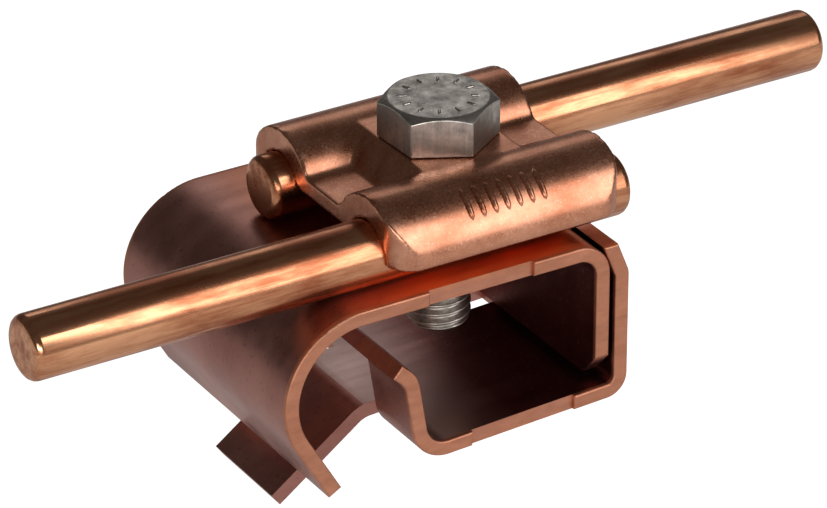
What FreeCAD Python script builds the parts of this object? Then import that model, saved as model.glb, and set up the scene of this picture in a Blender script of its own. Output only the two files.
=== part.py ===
"""Gutter-bead earthing clamp with a double cleat for two round conductors.

Frame, in millimetres: the origin is the axis of the gutter bead that the hook goes over, at
mid-width of the straps. +X runs along the two conductors, +Y across the straps, +Z up, along the bolt.
"""
import FreeCAD
import Part
import math
import os

V = FreeCAD.Vector

# Sheet and straps
SHEET_T = 2.4
STRAP_W = 50.0
EDGE_ROUND = 0.35
WAIST_DEPTH = 0.7
WAIST_LENGTH = 18.0

# Hook strap
BEAD_R = 11.0
HOOK_R = BEAD_R + SHEET_T
HOOK_END_ANGLE = 30.0
HOOK_END_LENGTH = 11.0
PLATE_TOP = HOOK_R
STRAP_RIGHT = 42.7
STRAP_BEND_R = 5.5
INNER_LEG_BOTTOM = -10.0
LEG_CORNER_Y = 3.6
LEG_CORNER_Z = 4.0
PLATE_WAIST_X = 20.2

# Bolt, M10 x 30 with a 16 mm hexagon head
BOLT_X = 24.9
BOLT_Y = -4.65
BOLT_R = 5.0
BOLT_LENGTH = 31.5
BOLT_TIP_CHAMFER = 1.0
HEAD_ACROSS_FLATS = 16.0
HEAD_HEIGHT = 6.4
HEAD_CHAMFER_ANGLE = 30.0
HEAD_TOP_R = 7.6
HEAD_TURN = -27.5
HEAD_GAP = 0.1
THREAD_CLEARANCE = 0.06

# Claw strap
LEG_GAP = 1.0
TAB_LEAN = 22.0
TAB_TOP = 12.4
TAB_BEND_Z = 7.4
CLAW_RIGHT_BOTTOM = -13.55
CLAW_CORNER_R = 3.6
WALL_FOOT = (9.25, -15.2)
WALL_KNEE = (7.0, -1.25)
LIP_END = (4.9, 0.6)
WALL_FOOT_R = 6.0
LIP_BEND_R = 3.0
CLAW_WAIST_X = 27.7
FLOOR_SLOT_LOW = (33.0, 6.3)
FLOOR_SLOT_HIGH = (43.0, 11.7)

# Tongue, which carries the claw's floor on to the left through a window in the wall
TONGUE_W = 17.3
TONGUE_KNEE_X = 8.6
TONGUE_FALL = 36.0
TONGUE_REACH = 19.0
TONGUE_BEND_R = 6.0
TONGUE_ROOT_X = 17.5
WINDOW_W = 27.7
WINDOW_TOP = -1.9
WINDOW_RIGHT_X = 15.4

# Conductors
ROD_R = 5.0
ROD_SPREAD = 12.7
ROD_GAP = 0.05
ROD_CHAMFER = 1.2
ROD_LENGTH = 100.0
FRONT_ROD_LEFT = -51.7
BACK_ROD_LEFT = 1.3

# Double cleat
CLEAT_LENGTH = 40.0
GROOVE_R = ROD_R + 0.05
RIDGE_R = 8.9
SKIRT_BOTTOM = PLATE_TOP + 4.6
VALLEY_TOP = PLATE_TOP + 9.1
VALLEY_T = 2.7
VALLEY_BLEND = 1.6
UNDER_BLEND = 3.0
PAD_TOP = PLATE_TOP + 13.55
PAD_HALF_X = 8.4
RAMP_RUN = 3.9
FRONT_CORNER_R = 5.0
BACK_CORNER_R = 2.0
CLEAT_HOLE_R = 5.5


def sheet_face(points, radii):
    """Face in the XZ plane of a bent sheet: points run along one surface, with a radius there
    for each inner point, and the sheet's thickness lies to the right of the direction of travel."""
    pts = [V(x, 0, z) for x, z in points]
    steps = [(b - a).normalize() for a, b in zip(pts, pts[1:])]
    rights = [V(d.z, 0, -d.x) for d in steps]
    near, far = [], []
    last_near, last_far = pts[0], pts[0] + rights[0] * SHEET_T
    for i, radius in enumerate(radii):
        d0, d1, n0, n1 = steps[i], steps[i + 1], rights[i], rights[i + 1]
        turns_right = n0.dot(d1) > 0
        side = 1 if turns_right else -1
        turn = d0.getAngle(d1)
        back = radius * math.tan(turn / 2)
        centre = pts[i + 1] - d0 * back + n0 * radius * side
        middle = (n0 + n1).normalize()
        for edges, r, start in ((near, radius, last_near), (far, radius - SHEET_T * side, last_far)):
            a = centre - n0 * r * side
            m = centre - middle * r * side
            b = centre - n1 * r * side
            edges.append(Part.LineSegment(start, a).toShape())
            edges.append(Part.Arc(a, m, b).toShape())
        last_near = centre - n1 * radius * side
        last_far = centre - n1 * (radius - SHEET_T * side) * side
    end_far = pts[-1] + rights[-1] * SHEET_T
    near.append(Part.LineSegment(last_near, pts[-1]).toShape())
    far.append(Part.LineSegment(last_far, end_far).toShape())
    ends = [Part.LineSegment(pts[0], pts[0] + rights[0] * SHEET_T).toShape(),
            Part.LineSegment(pts[-1], end_far).toShape()]
    wire = Part.Wire(Part.__sortEdges__(near + far + ends))
    return Part.Face(wire)


def across(face, width):
    """Extrude an XZ face by a width, centred on the mid-plane."""
    face = face.copy()
    face.translate(V(0, -width / 2, 0))
    return face.extrude(V(0, width, 0))


def box(low, high):
    return Part.makeBox(high[0] - low[0], high[1] - low[1], high[2] - low[2], V(*low))


def waist_cutters(mid_x, z_low, z_high):
    """Two shallow notches, one on each edge of a strap's flat."""
    half = STRAP_W / 2
    x0, x1 = mid_x - WAIST_LENGTH / 2, mid_x + WAIST_LENGTH / 2
    front = box((x0, -half - 1, z_low), (x1, -half + WAIST_DEPTH, z_high))
    back = box((x0, half - WAIST_DEPTH, z_low), (x1, half + 1, z_high))
    return front.fuse(back)


def soften(shape, edges, radius):
    """Round the edges if the kernel can, or return the shape as it was."""
    try:
        rounded = shape.makeFillet(radius, edges)
    except Part.OCCError:
        return shape
    sound = rounded.isValid() and len(rounded.Solids) == 1
    return rounded if sound else shape


def side_edges(shape, width):
    """Edges that lie wholly in the front or back side plane of a strap."""
    half = width / 2
    found = []
    for edge in shape.Edges:
        b = edge.BoundBox
        if b.YMax < -half + 1e-4 or b.YMin > half - 1e-4:
            found.append(edge)
    return found


def make_hook_strap():
    lean = math.radians(HOOK_END_ANGLE)
    down = V(math.sin(lean), 0, -math.cos(lean))
    tangent = V(-HOOK_R * math.cos(lean), 0, -HOOK_R * math.sin(lean))
    end = tangent + down * HOOK_END_LENGTH
    reach = HOOK_R * math.tan(math.radians((90 + HOOK_END_ANGLE) / 2))
    face = sheet_face(
        [(end.x, end.z), (-reach, HOOK_R), (STRAP_RIGHT, HOOK_R), (STRAP_RIGHT, INNER_LEG_BOTTOM)],
        [HOOK_R, STRAP_BEND_R])
    strap = across(face, STRAP_W)
    half = STRAP_W / 2
    for side in (-1, 1):
        corner = Part.makePolygon([
            V(STRAP_RIGHT - 5, side * half, INNER_LEG_BOTTOM),
            V(STRAP_RIGHT - 5, side * (half - LEG_CORNER_Y), INNER_LEG_BOTTOM),
            V(STRAP_RIGHT - 5, side * half, INNER_LEG_BOTTOM + LEG_CORNER_Z),
            V(STRAP_RIGHT - 5, side * half, INNER_LEG_BOTTOM)])
        strap = strap.cut(Part.Face(corner).extrude(V(8, 0, 0)))
    strap = strap.cut(waist_cutters(PLATE_WAIST_X, PLATE_TOP - SHEET_T - 1, PLATE_TOP + 1))
    hole_foot = V(BOLT_X, BOLT_Y, PLATE_TOP - 1.5 * SHEET_T)
    hole = Part.makeCylinder(BOLT_R + THREAD_CLEARANCE, 2 * SHEET_T, hole_foot)
    strap = strap.cut(hole)
    return soften(strap, side_edges(strap, STRAP_W), EDGE_ROUND)


def make_claw_strap():
    inner_x = STRAP_RIGHT + LEG_GAP
    outer_x = inner_x + SHEET_T
    rise = TAB_TOP + SHEET_T - TAB_BEND_Z
    tab_end = (outer_x - rise * math.tan(math.radians(TAB_LEAN)), TAB_TOP + SHEET_T)
    face = sheet_face(
        [tab_end, (outer_x, TAB_BEND_Z), (outer_x, CLAW_RIGHT_BOTTOM), WALL_FOOT, WALL_KNEE, LIP_END],
        [SHEET_T + 0.8, CLAW_CORNER_R, WALL_FOOT_R, LIP_BEND_R])
    strap = across(face, STRAP_W)
    strap = strap.cut(box((STRAP_RIGHT - 10, -STRAP_W, TAB_TOP), (outer_x + 10, STRAP_W, TAB_TOP + 10)))
    strap = strap.cut(waist_cutters(CLAW_WAIST_X, CLAW_RIGHT_BOTTOM - 5, CLAW_RIGHT_BOTTOM + 5))
    strap = soften(strap, side_edges(strap, STRAP_W), EDGE_ROUND)
    half = WINDOW_W / 2
    strap = strap.cut(box((0, -half, -30), (WINDOW_RIGHT_X, half, WINDOW_TOP)))
    strap = strap.cut(box((*FLOOR_SLOT_LOW, CLAW_RIGHT_BOTTOM - 5), (*FLOOR_SLOT_HIGH, INNER_LEG_BOTTOM)))
    slope = (CLAW_RIGHT_BOTTOM - WALL_FOOT[1]) / (outer_x - WALL_FOOT[0])
    floor_tilt = math.atan(slope)

    def floor_top(x):
        return WALL_FOOT[1] + (x - WALL_FOOT[0]) * slope + SHEET_T / math.cos(floor_tilt)

    fall = math.radians(TONGUE_FALL)
    knee = (TONGUE_KNEE_X, floor_top(TONGUE_KNEE_X))
    tip = (knee[0] - TONGUE_REACH * math.cos(fall), knee[1] - TONGUE_REACH * math.sin(fall))
    root = (TONGUE_ROOT_X, floor_top(TONGUE_ROOT_X))
    tongue = across(sheet_face([tip, knee, root], [TONGUE_BEND_R]), TONGUE_W)
    return strap.fuse(tongue).removeSplitter()


def arc(centre, radius, start, stop):
    """Arc in the YZ plane about centre (y, z), angles in radians from +Y."""
    y, z = centre
    points = [V(0, y + radius * math.cos(a), z + radius * math.sin(a))
              for a in (start, (start + stop) / 2, stop)]
    return Part.Arc(*points).toShape()


def make_double_cleat():
    ridge = (ROD_SPREAD, PLATE_TOP + ROD_GAP + ROD_R)

    def corner(flat_z, radius, ridge_radius):
        """Arc that joins a level surface to a ridge: its centre, and its lean seen from the ridge."""
        rise = flat_z + radius - ridge[1]
        run = math.sqrt((ridge_radius + radius) ** 2 - rise ** 2)
        return (ROD_SPREAD - run, flat_z + radius), math.atan2(rise, -run)

    under_z = VALLEY_TOP - VALLEY_T
    top, top_lean = corner(VALLEY_TOP, VALLEY_BLEND, RIDGE_R)
    under, under_lean = corner(under_z, UNDER_BLEND, GROOVE_R)
    drop = SKIRT_BOTTOM - ridge[1]
    outer_start = math.asin(drop / RIDGE_R)
    inner_start = math.asin(drop / GROOVE_R)
    down = 1.5 * math.pi
    outline = [
        arc(ridge, RIDGE_R, outer_start, top_lean),
        arc(top, VALLEY_BLEND, top_lean + math.pi, down),
        Part.LineSegment(V(0, top[0], VALLEY_TOP), V(0, 0, VALLEY_TOP)).toShape(),
        Part.LineSegment(V(0, 0, VALLEY_TOP), V(0, 0, under_z)).toShape(),
        Part.LineSegment(V(0, 0, under_z), V(0, under[0], under_z)).toShape(),
        arc(under, UNDER_BLEND, down, under_lean + math.pi),
        arc(ridge, GROOVE_R, under_lean, inner_start),
        Part.LineSegment(V(0, ROD_SPREAD + GROOVE_R * math.cos(inner_start), SKIRT_BOTTOM),
                         V(0, ROD_SPREAD + RIDGE_R * math.cos(outer_start), SKIRT_BOTTOM)).toShape()]
    wing = Part.Face(Part.Wire(Part.__sortEdges__(outline))).extrude(V(CLEAT_LENGTH, 0, 0))
    wing.translate(V(-CLEAT_LENGTH / 2, 0, 0))
    body = wing.fuse(wing.mirror(V(0, 0, 0), V(0, 1, 0)))

    def ramped_block(top, half_x):
        """Block with sloping left and right ends that rise out of the valley."""
        low = under_z - 1
        spread = RAMP_RUN * (top - low) / (PAD_TOP - VALLEY_TOP)
        profile = [(-half_x - spread, low), (-half_x, top), (half_x, top), (half_x + spread, low)]
        corners = [V(x, -ROD_SPREAD, z) for x, z in profile]
        return Part.Face(Part.makePolygon(corners + corners[:1])).extrude(V(0, 2 * ROD_SPREAD, 0))

    def groove(side, radius):
        start = V(-CLEAT_LENGTH, side * ridge[0], ridge[1])
        return Part.makeCylinder(radius, 2 * CLEAT_LENGTH, start, V(1, 0, 0))

    body = body.fuse(ramped_block(PAD_TOP, PAD_HALF_X))
    wall = RIDGE_R - GROOVE_R
    hollow = ramped_block(PAD_TOP - wall, PAD_HALF_X - 0.5 * wall)
    for side in (-1, 1):
        hollow = hollow.cut(groove(side, GROOVE_R + 0.8 * wall))
        body = body.cut(groove(side, GROOVE_R))
    body = body.cut(hollow)
    body = body.cut(Part.makeCylinder(CLEAT_HOLE_R, 2 * PAD_TOP))
    half_x, half_y = CLEAT_LENGTH / 2, ROD_SPREAD + RIDGE_R
    plan = box((-half_x, -half_y, PLATE_TOP), (half_x, half_y, PAD_TOP + 2))
    upright = [e for e in plan.Edges if e.BoundBox.ZLength > 5]
    plan = plan.makeFillet(FRONT_CORNER_R, [e for e in upright if e.BoundBox.YMax < 0])
    upright = [e for e in plan.Edges if e.BoundBox.ZLength > 5 and e.BoundBox.YMin > half_y - 0.01]
    plan = plan.makeFillet(BACK_CORNER_R, upright)
    body = body.common(plan).removeSplitter()
    body.translate(V(BOLT_X, BOLT_Y, 0))
    return body


def make_bolt():
    under_head = PAD_TOP + HEAD_GAP
    centre = V(BOLT_X, BOLT_Y, under_head)
    corner_r = HEAD_ACROSS_FLATS / math.sqrt(3)
    angles = [math.radians(HEAD_TURN + 60 * k) for k in range(6)]
    points = [centre + V(corner_r * math.cos(a), corner_r * math.sin(a), 0) for a in angles]
    head = Part.Face(Part.makePolygon(points + points[:1])).extrude(V(0, 0, HEAD_HEIGHT))
    slope = math.tan(math.radians(HEAD_CHAMFER_ANGLE))
    cone_r = HEAD_TOP_R + HEAD_HEIGHT / slope
    head = head.common(Part.makeCone(cone_r, HEAD_TOP_R, HEAD_HEIGHT, centre))
    c = BOLT_TIP_CHAMFER
    shank = Part.makeCylinder(BOLT_R, BOLT_LENGTH - c, centre - V(0, 0, BOLT_LENGTH - c))
    tip = Part.makeCone(BOLT_R - c, BOLT_R, c, centre - V(0, 0, BOLT_LENGTH))
    return head.fuse([shank, tip]).removeSplitter()


def make_conductor(side, left):
    start = V(left, BOLT_Y + side * ROD_SPREAD, PLATE_TOP + ROD_GAP + ROD_R)
    rod = Part.makeCylinder(ROD_R, ROD_LENGTH, start, V(1, 0, 0))
    rims = [e for e in rod.Edges if isinstance(e.Curve, Part.Circle)]
    return rod.makeChamfer(ROD_CHAMFER, rims)


PARTS = {
    "hook_strap": make_hook_strap,
    "claw_strap": make_claw_strap,
    "double_cleat": make_double_cleat,
    "hex_bolt": make_bolt,
    "front_conductor": lambda: make_conductor(-1, FRONT_ROD_LEFT),
    "back_conductor": lambda: make_conductor(1, BACK_ROD_LEFT),
}

os.makedirs("parts", exist_ok=True)
for name, make in PARTS.items():
    shape = make()
    shape.exportStep("parts/" + name + ".step")
    b = shape.BoundBox
    print(name, "solids", len(shape.Solids), "valid", shape.isValid(), "volume", round(shape.Volume, 1),
          "box", [round(v, 2) for v in (b.XMin, b.YMin, b.ZMin, b.XMax, b.YMax, b.ZMax)])
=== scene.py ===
# %% [markdown]
# # A gutter clamp for two round conductors
# The clamp has six pieces: two straps bent from thick copper sheet, a pressed copper cleat, a steel
# bolt, and the two copper rods that the cleat holds down. The fixed frame already has their exact
# sizes, so this lesson keeps each piece where the frame has it and gives it the surface of real metal.

# %% Load the fixed frame
import bmesh
import bpy
import math
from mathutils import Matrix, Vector


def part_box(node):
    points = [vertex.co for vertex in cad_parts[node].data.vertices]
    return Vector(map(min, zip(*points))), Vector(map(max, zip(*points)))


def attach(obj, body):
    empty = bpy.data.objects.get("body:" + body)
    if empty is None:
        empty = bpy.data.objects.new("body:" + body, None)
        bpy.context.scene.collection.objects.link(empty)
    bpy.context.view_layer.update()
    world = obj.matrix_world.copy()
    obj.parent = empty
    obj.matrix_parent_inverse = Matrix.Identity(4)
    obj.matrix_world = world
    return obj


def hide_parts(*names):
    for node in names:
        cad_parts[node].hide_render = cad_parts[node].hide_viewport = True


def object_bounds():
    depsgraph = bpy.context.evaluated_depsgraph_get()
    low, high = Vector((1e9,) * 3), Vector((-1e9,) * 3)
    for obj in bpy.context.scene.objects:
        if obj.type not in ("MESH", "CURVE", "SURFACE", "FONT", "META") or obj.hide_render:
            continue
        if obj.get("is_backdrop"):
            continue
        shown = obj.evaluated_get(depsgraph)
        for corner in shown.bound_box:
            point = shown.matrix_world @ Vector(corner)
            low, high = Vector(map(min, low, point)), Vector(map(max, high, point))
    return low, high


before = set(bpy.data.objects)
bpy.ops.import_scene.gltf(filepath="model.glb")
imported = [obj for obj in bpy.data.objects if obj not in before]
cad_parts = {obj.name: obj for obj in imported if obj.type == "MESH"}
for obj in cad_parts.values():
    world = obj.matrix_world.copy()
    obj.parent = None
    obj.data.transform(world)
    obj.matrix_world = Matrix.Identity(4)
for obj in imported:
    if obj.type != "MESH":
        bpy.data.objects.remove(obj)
cad_low, cad_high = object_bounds()
MM = 0.001
print("frame box in mm", [round(v / MM, 1) for v in (*cad_low, *cad_high)])

# %% [markdown]
# ## Small helpers for node trees
# Every finish below is a chain of nodes. A helper that adds a node and sets its values in one line
# keeps each chain as easy to read as a recipe.

# %% Helpers for nodes
def add_node(tree, kind, inputs=None, **settings):
    """Add a node; inputs maps a socket's name or number to a value or to another node's socket."""
    node = tree.nodes.new(kind)
    for name, value in settings.items():
        setattr(node, name, value)
    for key, value in (inputs or {}).items():
        if isinstance(value, bpy.types.NodeSocket):
            tree.links.new(value, node.inputs[key])
        else:
            node.inputs[key].default_value = value
    return node


def sum_of(tree, operation, a, b=0.0, c=0.0):
    """One Math node, and its result."""
    return add_node(tree, "ShaderNodeMath", {0: a, 1: b, 2: c}, operation=operation).outputs[0]


def noise(tree, point, scale, detail=4.0, roughness=0.55, stretch=None):
    """Noise on object coordinates; stretch draws the pattern out along the axis with a small number."""
    if stretch:
        point = add_node(tree, "ShaderNodeMapping", {"Vector": point, "Scale": stretch}).outputs[0]
    node = add_node(tree, "ShaderNodeTexNoise",
                    {"Vector": point, "Scale": scale, "Detail": detail, "Roughness": roughness})
    return node.outputs["Fac"]


def remap(tree, value, low, high, new_low, new_high):
    node = add_node(tree, "ShaderNodeMapRange", {
        "Value": value, "From Min": low, "From Max": high, "To Min": new_low, "To Max": new_high})
    return node.outputs["Result"]


def blend_colours(tree, amount, first, second):
    node = add_node(tree, "ShaderNodeMix", {0: amount, 6: first, 7: second}, data_type="RGBA")
    return node.outputs[2]


def new_metal(name):
    """An empty metal material: its tree, its shader and its object coordinates."""
    material = bpy.data.materials.new(name)
    material.use_nodes = True
    tree = material.node_tree
    shader = tree.nodes["Principled BSDF"]
    shader.inputs["Metallic"].default_value = 1.0
    point = add_node(tree, "ShaderNodeTexCoord").outputs["Object"]
    return material, tree, shader, point


def rough_up(tree, shader, height, strength, distance):
    """Turn a height pattern into small bumps on the shader."""
    bump = add_node(tree, "ShaderNodeBump",
                    {"Height": height, "Strength": strength, "Distance": distance})
    tree.links.new(bump.outputs["Normal"], shader.inputs["Normal"])


print("helpers for nodes ready")

# %% Helpers for pieces
def holder_of(name, mesh):
    """A new object that holds this mesh, in the scene."""
    holder = bpy.data.objects.new(name, mesh)
    bpy.context.scene.collection.objects.link(holder)
    return holder


def settled_mesh(holder, name):
    """What the holder's modifiers make of its mesh, as a plain mesh; the holder is removed."""
    depsgraph = bpy.context.evaluated_depsgraph_get()
    mesh = bpy.data.meshes.new_from_object(holder.evaluated_get(depsgraph), depsgraph=depsgraph)
    bpy.data.objects.remove(holder)
    mesh.name = name
    return mesh


print("helpers for pieces ready")

# %% [markdown]
# ## Copper sheet
# The straps are rolled sheet that has been handled and has begun to brown. A wide noise makes the
# patches of brown, a long thin one the rolling lines, and a fine one the grain. Object coordinates
# tell where a face lies, so one material can also have lighter, freshly sheared edges at both ends of
# the straps' width, a painted red glow of reflected copper on the plate under and round the cleat,
# and painted shade inside the box, with painted light beside its left wall.

# %% The sheet's finish
STRAP_HALF_WIDTH = 25 * MM
PLATE_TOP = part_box("front_conductor")[0].z
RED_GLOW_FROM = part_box("double_cleat")[0].x - 6 * MM
RED_GLOW_BLEND = 14 * MM
WALL_MIDDLE = 9.35 * MM
OUTER_LEG_MIDDLE = 44.9 * MM
FLOOR_SLOPE = 0.045
FLOOR_MIDDLE = -14.4 * MM
LIP_LEFT = 3.5 * MM
LIP_HIGHEST = 4 * MM
WINDOW_HALF_WIDTH = 13.85 * MM


def above(tree, value, limit):
    """1 where value is over limit, 0 elsewhere."""
    return sum_of(tree, "GREATER_THAN", value, limit)


def product(tree, *masks):
    result = masks[0]
    for mask in masks[1:]:
        result = sum_of(tree, "MULTIPLY", result, mask)
    return result


def inside_the_box(tree, place, facing):
    """1 on the faces that look into the box, 0 elsewhere and on the tongue's sides."""
    floor_line = sum_of(tree, "MULTIPLY_ADD", place["X"], FLOOR_SLOPE, FLOOR_MIDDLE)
    inside = product(tree, above(tree, place["X"], WALL_MIDDLE),
                     above(tree, OUTER_LEG_MIDDLE, place["X"]),
                     above(tree, PLATE_TOP - 1.2 * MM, place["Z"]),
                     above(tree, place["Z"], floor_line))
    return product(tree, inside, above(tree, 0.7, sum_of(tree, "ABSOLUTE", facing["Y"])))


def sheared_edges(tree, point, place, facing):
    """1 on the cut edges at both ends of the width and on the end of the wall's front lip."""
    from_middle = sum_of(tree, "ABSOLUTE", place["Y"])
    ragged = sum_of(tree, "MULTIPLY_ADD", noise(tree, point, 700.0), 0.25 * MM, from_middle)
    cut = remap(tree, ragged, STRAP_HALF_WIDTH - 0.75 * MM, STRAP_HALF_WIDTH - 0.55 * MM, 0.0, 1.0)
    lip_end = product(tree, above(tree, -0.5, facing["X"]), above(tree, facing["Z"], 0.4),
                      above(tree, place["X"], LIP_LEFT), above(tree, WALL_MIDDLE, place["X"]),
                      above(tree, -WINDOW_HALF_WIDTH, place["Y"]),
                      above(tree, LIP_HIGHEST, place["Z"]))
    return sum_of(tree, "MAXIMUM", cut, lip_end)


def copper_sheet():
    material, tree, shader, point = new_metal("copper_sheet")
    normal = add_node(tree, "ShaderNodeTexCoord").outputs["Normal"]
    place = add_node(tree, "ShaderNodeSeparateXYZ", {0: point}).outputs
    facing = add_node(tree, "ShaderNodeSeparateXYZ", {0: normal}).outputs

    # Browned face with rolling lines and dark dots
    patches = noise(tree, point, 55.0, 3.0)
    rolled = noise(tree, point, 260.0, 3.0, 0.6, (0.15, 1.0, 1.0))
    specks = noise(tree, point, 1500.0, 2.0)
    brown = remap(tree, sum_of(tree, "MULTIPLY_ADD", rolled, 0.45, patches), 0.45, 0.95, 0.0, 1.0)
    face = blend_colours(tree, brown, (0.35, 0.14, 0.11, 1), (0.60, 0.29, 0.235, 1))
    dots = remap(tree, specks, 0.62, 0.70, 0.0, 0.35)
    face = blend_colours(tree, dots, face, (0.10, 0.035, 0.025, 1))

    # Painted reflection: a red glow of the copper around, on the top of the plate round the cleat
    near_bolt = remap(tree, place["X"], RED_GLOW_FROM, RED_GLOW_FROM + RED_GLOW_BLEND, 0.0, 1.0)
    painted_red_glow = product(tree, above(tree, place["Z"], PLATE_TOP - 0.8 * MM), near_bolt)
    face = blend_colours(tree, painted_red_glow, face, (0.78, 0.27, 0.12, 1))

    # Painted shade inside the box, with painted light beside the left wall and pale specks as painted
    # glints
    painted_light_by_wall = remap(tree, place["X"], WALL_MIDDLE + 4 * MM, WALL_MIDDLE + 18 * MM, 1.0, 0.0)
    painted_box_shade_and_light = blend_colours(tree, painted_light_by_wall, (0.20, 0.065, 0.055, 1), (0.62, 0.42, 0.38, 1))
    painted_box_shade_and_light = blend_colours(tree, dots, painted_box_shade_and_light, (0.55, 0.27, 0.20, 1))
    face = blend_colours(tree, inside_the_box(tree, place, facing), face, painted_box_shade_and_light)

    # Fresh metal on the sheared edges
    cut = sheared_edges(tree, point, place, facing)
    sheared = noise(tree, point, 500.0, 4.0, 0.6, (0.5, 1.0, 1.4))
    fresh = blend_colours(tree, sheared, (0.45, 0.17, 0.10, 1), (0.85, 0.39, 0.24, 1))
    tree.links.new(blend_colours(tree, cut, face, fresh), shader.inputs["Base Color"])

    # Gloss and grain
    worn = remap(tree, rolled, 0.3, 0.7, 0.30, 0.44)
    rougher = remap(tree, cut, 0.0, 1.0, 0.0, 0.12)
    tree.links.new(sum_of(tree, "ADD", worn, rougher), shader.inputs["Roughness"])
    height = sum_of(tree, "MULTIPLY_ADD", specks, 0.5, rolled)
    rough_up(tree, shader, height, 0.16, 0.04 * MM)
    return material


sheet_metal = copper_sheet()
for strap in ("hook_strap", "claw_strap"):
    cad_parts[strap].data.materials.clear()
    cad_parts[strap].data.materials.append(sheet_metal)
    print(strap, "triangles", len(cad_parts[strap].data.polygons))

# %% [markdown]
# ## Drawn copper rod
# A conductor is drawn through a die, which leaves bright metal with long streaks and a few darker
# stains where it was handled. The rod itself follows a rule, a round bar with rounded-off ends, so
# Geometry Nodes build it from its length, radius and end rounding, and both rods use one tree.

# %% The rod's finish
def copper_rod():
    material, tree, shader, point = new_metal("copper_rod")
    streaks = noise(tree, point, 1100.0, 4.0, 0.65, (0.03, 1.0, 1.0))
    stains = noise(tree, point, 260.0, 5.0, 0.65, (0.22, 1.0, 1.0))
    patches = noise(tree, point, 60.0, 2.0, 0.5, (0.6, 1.0, 1.0))
    tone = sum_of(tree, "MULTIPLY_ADD", streaks, 0.5, stains)
    tone = sum_of(tree, "MULTIPLY_ADD", patches, 0.4, tone)
    low, high = 0.80, 1.12
    amount = remap(tree, tone, low, high, 0.0, 1.0)
    colour = blend_colours(tree, amount, (0.44, 0.14, 0.065, 1), (0.93, 0.46, 0.25, 1))
    tree.links.new(colour, shader.inputs["Base Color"])
    tree.links.new(remap(tree, tone, low, high, 0.31, 0.15), shader.inputs["Roughness"])
    pits = noise(tree, point, 1300.0, 3.0)
    rough_up(tree, shader, sum_of(tree, "MULTIPLY_ADD", pits, 0.35, streaks), 0.22, 0.05 * MM)
    return material


rod_metal = copper_rod()
print("rod finish", len(rod_metal.node_tree.nodes), "nodes")

# %% Helpers for Geometry Nodes
def new_geometry_tree(name, inputs):
    """A geometry tree with named number inputs: the tree, its input sockets and its output node."""
    tree = bpy.data.node_groups.new(name, "GeometryNodeTree")
    tree.interface.new_socket(name="Geometry", in_out="INPUT", socket_type="NodeSocketGeometry")
    kinds = {float: "NodeSocketFloat", int: "NodeSocketInt", bpy.types.Material: "NodeSocketMaterial"}
    for label, kind in inputs.items():
        tree.interface.new_socket(name=label, in_out="INPUT", socket_type=kinds[kind])
    tree.interface.new_socket(name="Geometry", in_out="OUTPUT", socket_type="NodeSocketGeometry")
    return tree, tree.nodes.new("NodeGroupInput").outputs, tree.nodes.new("NodeGroupOutput")


def close_tree(tree, result, given, out):
    """End the tree as the export needs it: real geometry that carries its material."""
    real = add_node(tree, "GeometryNodeRealizeInstances", {"Geometry": result}).outputs[0]
    smooth = add_node(tree, "GeometryNodeSetShadeSmooth", {"Geometry": real}).outputs[0]
    done = add_node(tree, "GeometryNodeSetMaterial", {"Geometry": smooth, "Material": given["Material"]})
    tree.links.new(done.outputs[0], out.inputs[0])


def grow(name, tree, values, place=(0, 0, 0)):
    """Run a geometry tree with these values and keep the result as a plain mesh at its place."""
    seed = holder_of(name + "_seed", bpy.data.meshes.new(name + "_seed"))
    modifier = seed.modifiers.new("grow", "NODES")
    modifier.node_group = tree
    for item in tree.interface.items_tree:
        if item.in_out == "INPUT" and item.name in values:
            modifier[item.identifier] = values[item.name]
    mesh = settled_mesh(seed, name)
    for corner in mesh.vertices:
        corner.co += Vector(place)
    print(name, "faces", len(mesh.polygons))
    return holder_of(name, mesh)


print("helpers for geometry trees ready")

# %% The rod's tree
RING_COUNT = 10
RING_POINTS = 96
END_ROUNDING = 1.3 * MM


def rod_tree():
    """A bar along X from 0: its first and last five rings step round a quarter circle."""
    tree, given, out = new_geometry_tree("round_bar", {
        "Length": float, "Radius": float, "Rounding": float, "Material": bpy.types.Material})
    index = add_node(tree, "GeometryNodeInputIndex").outputs[0]
    from_right = sum_of(tree, "SUBTRACT", RING_COUNT - 1, index)
    step = sum_of(tree, "MINIMUM", index, from_right)
    quarter = sum_of(tree, "MULTIPLY", step, math.pi / 2 / (RING_COUNT / 2 - 1))
    inward = sum_of(tree, "SUBTRACT", 1.0, sum_of(tree, "COSINE", quarter))
    shrink = sum_of(tree, "SUBTRACT", 1.0, sum_of(tree, "SINE", quarter))
    near_end = sum_of(tree, "MULTIPLY", given["Rounding"], inward)
    far_end = sum_of(tree, "SUBTRACT", given["Length"], near_end)
    is_right = sum_of(tree, "GREATER_THAN", index, RING_COUNT / 2 - 0.5)
    span = sum_of(tree, "SUBTRACT", far_end, near_end)
    along = sum_of(tree, "MULTIPLY_ADD", span, is_right, near_end)
    point = add_node(tree, "ShaderNodeCombineXYZ", {"X": along}).outputs[0]
    line = add_node(tree, "GeometryNodeMeshLine", {"Count": RING_COUNT}).outputs[0]
    line = add_node(tree, "GeometryNodeSetPosition", {"Geometry": line, "Position": point}).outputs[0]
    curve = add_node(tree, "GeometryNodeMeshToCurve", {"Mesh": line}).outputs[0]
    ring = add_node(tree, "GeometryNodeCurvePrimitiveCircle",
                    {"Resolution": RING_POINTS, "Radius": given["Radius"]})
    lost = sum_of(tree, "MULTIPLY", given["Rounding"], shrink)
    share = sum_of(tree, "SUBTRACT", 1.0, sum_of(tree, "DIVIDE", lost, given["Radius"]))
    curve = add_node(tree, "GeometryNodeSetCurveRadius", {"Curve": curve, "Radius": share}).outputs[0]
    bar = add_node(tree, "GeometryNodeCurveToMesh",
                   {"Curve": curve, "Profile Curve": ring.outputs[0], "Fill Caps": True})
    if "Scale" in bar.inputs:
        tree.links.new(share, bar.inputs["Scale"])
    close_tree(tree, bar.outputs[0], given, out)
    return tree


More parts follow.
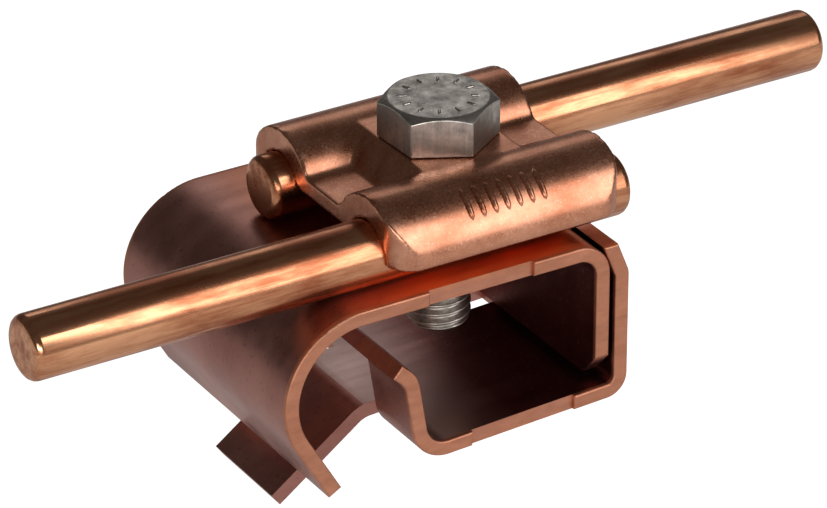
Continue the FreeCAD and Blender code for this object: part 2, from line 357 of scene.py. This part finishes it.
round_bar = rod_tree()
for node, body in (("front_conductor", "front_rod"), ("back_conductor", "back_rod")):
    low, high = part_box(node)
    radius = (high.z - low.z) / 2
    rod = grow(node.replace("conductor", "copper_rod"), round_bar,
               {"Length": high.x - low.x, "Radius": radius, "Rounding": END_ROUNDING,
                "Material": rod_metal},
               (low.x, (low.y + high.y) / 2, low.z + radius))
    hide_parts(node)
    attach(rod, body)

# %% [markdown]
# ## The pressed cleat
# The cleat is struck hot between dies, so it has no sharp edge anywhere and a grainy skin. The
# frame's cleat has the right shape with knife edges. Remeshing it into small even squares and relaxing
# them a little rounds every edge alike, which is quicker and safer than bevelling its many curved
# joins.

# %% The cleat's finish
def pressed_copper():
    material, tree, shader, point = new_metal("pressed_copper")
    clouds = noise(tree, point, 130.0, 4.0, 0.6)
    smears = noise(tree, point, 500.0, 4.0, 0.6, (0.35, 1.0, 1.0))
    tone = sum_of(tree, "MULTIPLY_ADD", smears, 0.4, clouds)
    amount = remap(tree, tone, 0.50, 0.92, 0.0, 1.0)
    colour = blend_colours(tree, amount, (0.50, 0.185, 0.10, 1), (0.80, 0.385, 0.245, 1))
    grain = noise(tree, point, 2600.0, 2.0, 0.6)
    # Pale specks on the grain are painted glints
    glints = remap(tree, grain, 0.60, 0.72, 0.0, 0.5)
    colour = blend_colours(tree, glints, colour, (0.98, 0.66, 0.49, 1))
    tree.links.new(colour, shader.inputs["Base Color"])
    tree.links.new(remap(tree, grain, 0.35, 0.65, 0.26, 0.36), shader.inputs["Roughness"])
    rough_up(tree, shader, grain, 0.06, 0.04 * MM)
    return material


cleat_metal = pressed_copper()
print("cleat finish", len(cleat_metal.node_tree.nodes), "nodes")

# %% The cleat's soft edges
SQUARE = 0.35 * MM
RELAX_PASSES = 5


def soften_copy(node, name, square, passes):
    """A remeshed copy of a frame node with its edges relaxed, as a plain mesh."""
    copy = holder_of(name + "_rough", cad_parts[node].data.copy())
    weld = copy.modifiers.new("weld", "WELD")
    weld.merge_threshold = 0.005 * MM
    remesh = copy.modifiers.new("even_squares", "REMESH")
    remesh.mode = "VOXEL"
    remesh.voxel_size = square
    relax = copy.modifiers.new("relax", "SMOOTH")
    relax.factor = 0.5
    relax.iterations = passes
    made = settled_mesh(copy, name)
    made.polygons.foreach_set("use_smooth", [True] * len(made.polygons))
    print(name, "faces", len(made.polygons))
    return holder_of(name, made)


cleat = soften_copy("double_cleat", "cleat_pressing", SQUARE, RELAX_PASSES)
cleat.data.materials.clear()
cleat.data.materials.append(cleat_metal)
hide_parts("double_cleat")
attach(cleat, "cleat")

# %% [markdown]
# ## Raised marks
# A pressing usually carries raised marks. Here they are plain upright ribs that hug the front ridge,
# and plain radial dashes on the bolt's head. Both are one short rounded bar repeated along a row or
# round a ring, so one tree makes them: a point for each mark, and the bar, bent to an arc, on each. A
# ring radius of zero gives a straight row.

# %% The marks' tree
BAR_POINTS = 13
BAR_SIDES = 12


def marks_tree():
    tree, given, out = new_geometry_tree("row_of_marks", {
        "Count": int, "Start": float, "Spacing": float, "Ring Radius": float, "Bar Length": float,
        "Bar Radius": float, "Sink": float, "Arc Radius": float, "Material": bpy.types.Material})

    # A point for each mark, on the row or on the ring
    index = add_node(tree, "GeometryNodeInputIndex").outputs[0]
    place = sum_of(tree, "MULTIPLY_ADD", index, given["Spacing"], given["Start"])
    on_ring = above(tree, given["Ring Radius"], 0.0)
    on_row = sum_of(tree, "SUBTRACT", 1.0, on_ring)
    ring_x = sum_of(tree, "MULTIPLY", sum_of(tree, "COSINE", place), given["Ring Radius"])
    ring_y = sum_of(tree, "MULTIPLY", sum_of(tree, "SINE", place), given["Ring Radius"])
    x = sum_of(tree, "ADD", ring_x, sum_of(tree, "MULTIPLY", place, on_row))
    spot = add_node(tree, "ShaderNodeCombineXYZ", {"X": x, "Y": ring_y}).outputs[0]
    points = add_node(tree, "GeometryNodePoints",
                      {"Count": given["Count"], "Position": spot}).outputs[0]

    # One bar along Y, bent down at both ends and thinner there
    half = sum_of(tree, "MULTIPLY", given["Bar Length"], 0.5)
    step = add_node(tree, "GeometryNodeInputIndex").outputs[0]
    share = sum_of(tree, "MULTIPLY_ADD", step, 2.0 / (BAR_POINTS - 1), -1.0)
    along = sum_of(tree, "MULTIPLY", share, half)
    angle = sum_of(tree, "DIVIDE", along, given["Arc Radius"])
    down = sum_of(tree, "MULTIPLY", sum_of(tree, "SUBTRACT", 1.0, sum_of(tree, "COSINE", angle)),
                  given["Arc Radius"])
    height = sum_of(tree, "MULTIPLY", sum_of(tree, "ADD", down, given["Sink"]), -1.0)
    reach = sum_of(tree, "MULTIPLY", sum_of(tree, "SINE", angle), given["Arc Radius"])
    spine = add_node(tree, "ShaderNodeCombineXYZ", {"Y": reach, "Z": height}).outputs[0]
    line = add_node(tree, "GeometryNodeMeshLine", {"Count": BAR_POINTS}).outputs[0]
    line = add_node(tree, "GeometryNodeSetPosition", {"Geometry": line, "Position": spine}).outputs[0]
    curve = add_node(tree, "GeometryNodeMeshToCurve", {"Mesh": line}).outputs[0]
    taper = sum_of(tree, "POWER", sum_of(tree, "ABSOLUTE", share), 6.0)
    thick = sum_of(tree, "MULTIPLY_ADD", taper, -0.75, 1.0)
    curve = add_node(tree, "GeometryNodeSetCurveRadius", {"Curve": curve, "Radius": thick}).outputs[0]
    ring = add_node(tree, "GeometryNodeCurvePrimitiveCircle",
                    {"Resolution": BAR_SIDES, "Radius": given["Bar Radius"]})
    bar = add_node(tree, "GeometryNodeCurveToMesh",
                   {"Curve": curve, "Profile Curve": ring.outputs[0], "Fill Caps": True})
    if "Scale" in bar.inputs:
        tree.links.new(thick, bar.inputs["Scale"])

    # The bar on every point, turned to lie along the ring's radius
    quarter_back = sum_of(tree, "MULTIPLY", sum_of(tree, "SUBTRACT", place, math.pi / 2), on_ring)
    facing = add_node(tree, "ShaderNodeCombineXYZ", {"Z": quarter_back}).outputs[0]
    turned = add_node(tree, "FunctionNodeEulerToRotation", {0: facing}).outputs[0]
    copies = add_node(tree, "GeometryNodeInstanceOnPoints",
                      {"Points": points, "Instance": bar.outputs[0], "Rotation": turned})
    close_tree(tree, copies.outputs[0], given, out)
    return tree


marks = marks_tree()
print("marks tree", len(marks.nodes), "nodes")

# %% Ribs on the front ridge
RIB_COUNT = 7
RIB_SPACING = 2.1 * MM
RIB_LENGTH = 5.2 * MM
RIB_RADIUS = 0.5 * MM
RIB_SINK = 0.06 * MM
RIDGE_RADIUS = 8.9 * MM
RIB_TILT = math.radians(40)

front_low, front_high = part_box("front_conductor")
ridge_y, ridge_z = (front_low.y + front_high.y) / 2, (front_low.z + front_high.z) / 2
cleat_low, cleat_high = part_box("double_cleat")
middle_x = (cleat_low.x + cleat_high.x) / 2
ribs = grow("cleat_ribs", marks, {
    "Count": RIB_COUNT, "Start": -RIB_SPACING * (RIB_COUNT - 1) / 2, "Spacing": RIB_SPACING,
    "Ring Radius": 0.0, "Bar Length": RIB_LENGTH, "Bar Radius": RIB_RADIUS, "Sink": RIB_SINK,
    "Arc Radius": RIDGE_RADIUS, "Material": cleat_metal})
for corner in ribs.data.vertices:
    y, z = corner.co.y, corner.co.z + RIDGE_RADIUS
    corner.co = (corner.co.x + middle_x,
                 ridge_y + y * math.cos(RIB_TILT) - z * math.sin(RIB_TILT),
                 ridge_z + y * math.sin(RIB_TILT) + z * math.cos(RIB_TILT))
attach(ribs, "cleat")

# %% [markdown]
# ## The bolt
# The head is forged steel with a turned top and brushed flats, and the shank is threaded all the way.
# A thread follows a simple rule: the radius depends only on how far along the pitch a point is, less
# its share of a turn. Geometry Nodes apply that rule to a fine cylinder, which is lighter than
# sweeping a profile and leaves no seam.

# %% The bolt's finish
def brushed_steel():
    material, tree, shader, point = new_metal("brushed_steel")
    brushing = noise(tree, point, 2200.0, 3.0, 0.6, (1.0, 1.0, 0.05))
    mottled = noise(tree, point, 500.0, 4.0, 0.6)
    tone = sum_of(tree, "MULTIPLY_ADD", brushing, 0.5, mottled)
    low, high = 0.5, 1.0
    amount = remap(tree, tone, low, high, 0.0, 1.0)
    colour = blend_colours(tree, amount, (0.32, 0.295, 0.265, 1), (0.72, 0.67, 0.61, 1))
    tree.links.new(colour, shader.inputs["Base Color"])
    tree.links.new(remap(tree, tone, low, high, 0.46, 0.28), shader.inputs["Roughness"])
    rough_up(tree, shader, tone, 0.35, 0.06 * MM)
    return material


steel = brushed_steel()
print("steel finish", len(steel.node_tree.nodes), "nodes")

# %% The thread's tree
THREAD_SIDES = 72


def thread_tree():
    tree, given, out = new_geometry_tree("screw_thread", {
        "Length": float, "Radius": float, "Pitch": float, "Depth": float, "Tip": float,
        "Rings": int, "Material": bpy.types.Material})
    bar = add_node(tree, "GeometryNodeMeshCylinder", {
        "Vertices": THREAD_SIDES, "Side Segments": given["Rings"], "Radius": given["Radius"],
        "Depth": given["Length"]})
    place = add_node(tree, "GeometryNodeInputPosition").outputs[0]
    part = add_node(tree, "ShaderNodeSeparateXYZ", {0: place}).outputs
    turn = sum_of(tree, "DIVIDE", sum_of(tree, "ARCTAN2", part["Y"], part["X"]), 2 * math.pi)
    phase = sum_of(tree, "SUBTRACT", sum_of(tree, "DIVIDE", part["Z"], given["Pitch"]), turn)
    wave = sum_of(tree, "PINGPONG", phase, 0.5)
    crest_ends, root_starts = 0.07, 0.42
    flank = remap(tree, wave, crest_ends, root_starts, 0.0, 1.0)
    threaded = sum_of(tree, "SUBTRACT", given["Radius"], sum_of(tree, "MULTIPLY", flank, given["Depth"]))
    above_tip = sum_of(tree, "MULTIPLY_ADD", given["Length"], 0.5, part["Z"])
    core = sum_of(tree, "SUBTRACT", given["Radius"], given["Tip"])
    radius = sum_of(tree, "MINIMUM", threaded, sum_of(tree, "ADD", core, above_tip))
    share = sum_of(tree, "DIVIDE", radius, given["Radius"])
    x = sum_of(tree, "MULTIPLY", part["X"], share)
    y = sum_of(tree, "MULTIPLY", part["Y"], share)
    moved = add_node(tree, "ShaderNodeCombineXYZ", {"X": x, "Y": y, "Z": part["Z"]}).outputs[0]
    bar = add_node(tree, "GeometryNodeSetPosition",
                   {"Geometry": bar.outputs["Mesh"], "Position": moved})
    close_tree(tree, bar.outputs[0], given, out)
    return tree


screw_thread = thread_tree()
print("thread tree", len(screw_thread.nodes), "nodes")

# %% The thread
PITCH = 1.5 * MM
THREAD_RADIUS = 5 * MM
THREAD_DEPTH = 0.9 * MM
TIP_CHAMFER = 1.1 * MM
RINGS_PER_TURN = 12
HEAD_HEIGHT = 6.4 * MM

bolt_low, bolt_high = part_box("hex_bolt")
bolt_x, bolt_y = (bolt_low.x + bolt_high.x) / 2, (bolt_low.y + bolt_high.y) / 2
under_head = bolt_high.z - HEAD_HEIGHT
thread_length = under_head - bolt_low.z
thread = grow("bolt_thread", screw_thread, {
    "Length": thread_length, "Radius": THREAD_RADIUS, "Pitch": PITCH, "Depth": THREAD_DEPTH,
    "Tip": TIP_CHAMFER, "Rings": round(thread_length / PITCH * RINGS_PER_TURN), "Material": steel},
    (bolt_x, bolt_y, bolt_low.z + thread_length / 2))
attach(thread, "bolt")

# %% The head
EDGE_BREAK = 0.18 * MM
SAME_PLANE = math.radians(2)
SHARP = math.radians(20)


def bolt_head():
    """The frame's own head, cut off above the shank, with its edges broken."""
    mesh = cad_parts["hex_bolt"].data.copy()
    copy = holder_of("head_rough", mesh)
    work = bmesh.new()
    work.from_mesh(mesh)
    bmesh.ops.remove_doubles(work, verts=work.verts, dist=0.002 * MM)
    cut_z = under_head + 0.02 * MM
    bmesh.ops.bisect_plane(work, geom=work.verts[:] + work.edges[:] + work.faces[:],
                           plane_co=(0, 0, cut_z), plane_no=(0, 0, 1), clear_inner=True)
    open_edges = [e for e in work.edges if e.is_boundary]
    bmesh.ops.holes_fill(work, edges=open_edges)
    bmesh.ops.dissolve_limit(work, angle_limit=SAME_PLANE, verts=work.verts[:], edges=work.edges[:])
    work.to_mesh(mesh)
    work.free()
    bevel = copy.modifiers.new("broken_edges", "BEVEL")
    bevel.width = EDGE_BREAK
    bevel.segments = 2
    bevel.limit_method = "ANGLE"
    bevel.angle_limit = SHARP
    made = settled_mesh(copy, "bolt_head")
    made.materials.clear()
    made.materials.append(steel)
    print("bolt_head faces", len(made.polygons))
    return holder_of("bolt_head", made)


head = bolt_head()
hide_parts("hex_bolt")
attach(head, "bolt")

# %% Dashes on the head
DASH_COUNT = 12
DASH_RING = 5.5 * MM
DASH_LENGTH = 1.5 * MM
DASH_RADIUS = 0.26 * MM
DASH_SINK = 0.06 * MM
NEARLY_STRAIGHT = 1.0

dashes = grow("head_dashes", marks, {
    "Count": DASH_COUNT, "Start": 0.0, "Spacing": 2 * math.pi / DASH_COUNT,
    "Ring Radius": DASH_RING, "Bar Length": DASH_LENGTH, "Bar Radius": DASH_RADIUS,
    "Sink": DASH_SINK, "Arc Radius": NEARLY_STRAIGHT, "Material": steel},
    (bolt_x, bolt_y, bolt_high.z))
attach(dashes, "bolt")

# %% [markdown]
# ## Floor, light and camera
# Metal shows what stands round it. A tall soft light on the right of the front gives the rods and the
# cleat's ridges their bright band, because that is the way they mirror the camera's line of sight. The
# dark air above gives the deep brown on top, and a faint light behind keeps the bolt's top grey. The
# floor is white to the eye, but it glows less for every other ray: otherwise its reflection would wash
# out the undersides and the sheared edges.

# %% Floor
FLOOR_DROP = 140 * MM
FLOOR_HALF = 4.0
FLOOR_WHITE = 1.0
FLOOR_GLOW = 0.30


def pale_floor():
    mesh = bpy.data.meshes.new("floor")
    half, z = FLOOR_HALF, cad_low.z - FLOOR_DROP
    corners = [(-half, -half, z), (half, -half, z), (half, half, z), (-half, half, z)]
    mesh.from_pydata(corners, [], [(0, 1, 2, 3)])
    paint = bpy.data.materials.new("pale_floor")
    paint.use_nodes = True
    tree = paint.node_tree
    shader = tree.nodes["Principled BSDF"]
    shader.inputs["Base Color"].default_value = (0.5, 0.5, 0.5, 1)
    shader.inputs["Roughness"].default_value = 0.9
    shader.inputs["Emission Color"].default_value = (1, 1, 1, 1)
    seen = add_node(tree, "ShaderNodeLightPath").outputs["Is Camera Ray"]
    glow = remap(tree, seen, 0.0, 1.0, FLOOR_GLOW, FLOOR_WHITE)
    tree.links.new(glow, shader.inputs["Emission Strength"])
    mesh.materials.append(paint)
    return holder_of("floor", mesh)


pale_floor()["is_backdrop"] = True
print("floor at", round((cad_low.z - FLOOR_DROP) / MM, 1), "mm")

# %% Lights
def soft_light(name, azimuth, elevation, distance, width, height, watts):
    """A rectangular soft light that faces the clamp from this direction."""
    data = bpy.data.lights.new(name, "AREA")
    data.shape = "RECTANGLE"
    data.size, data.size_y, data.energy = width, height, watts
    a, e = math.radians(azimuth), math.radians(elevation)
    back = Vector((math.sin(a) * math.cos(e), -math.cos(a) * math.cos(e), math.sin(e)))
    light = holder_of(name, data)
    light.location = back * distance
    light.rotation_euler = (-back).to_track_quat("-Z", "Y").to_euler()
    print(name, "power", watts)


soft_light("key_soft", 30, 25, 1.2, 0.7, 1.0, 6.0)
soft_light("front_soft", -35, 14, 1.2, 1.0, 0.32, 4.5)
soft_light("back_soft", 149, 28, 1.3, 0.9, 0.4, 0.8)

world = bpy.data.worlds.new("studio_air")
world.use_nodes = True
air = world.node_tree.nodes["Background"].inputs
air["Color"].default_value = (1.0, 0.93, 0.88, 1)
air["Strength"].default_value = 0.07
bpy.context.scene.world = world
bpy.context.scene.view_settings.view_transform = "Standard"

# %% Camera
camera = bpy.data.cameras.new("camera")
camera.sensor_width = 36.0
camera.lens = 220.4
camera.dof.use_dof = False
LOOKS_DOWN = math.radians(28.197)
FROM_THE_LEFT = math.radians(31.098)
eye = holder_of("camera", camera)
eye.location = (-0.32622, -0.57955, 0.36785)
eye.rotation_euler = (math.pi / 2 - LOOKS_DOWN, 0, -FROM_THE_LEFT)
bpy.context.scene.camera = eye
print("camera lens", camera.lens, "mm")

# %% Sizes, and the end
low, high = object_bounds()
print("visual box in mm", [round(v / MM, 1) for v in (*low, *high)])
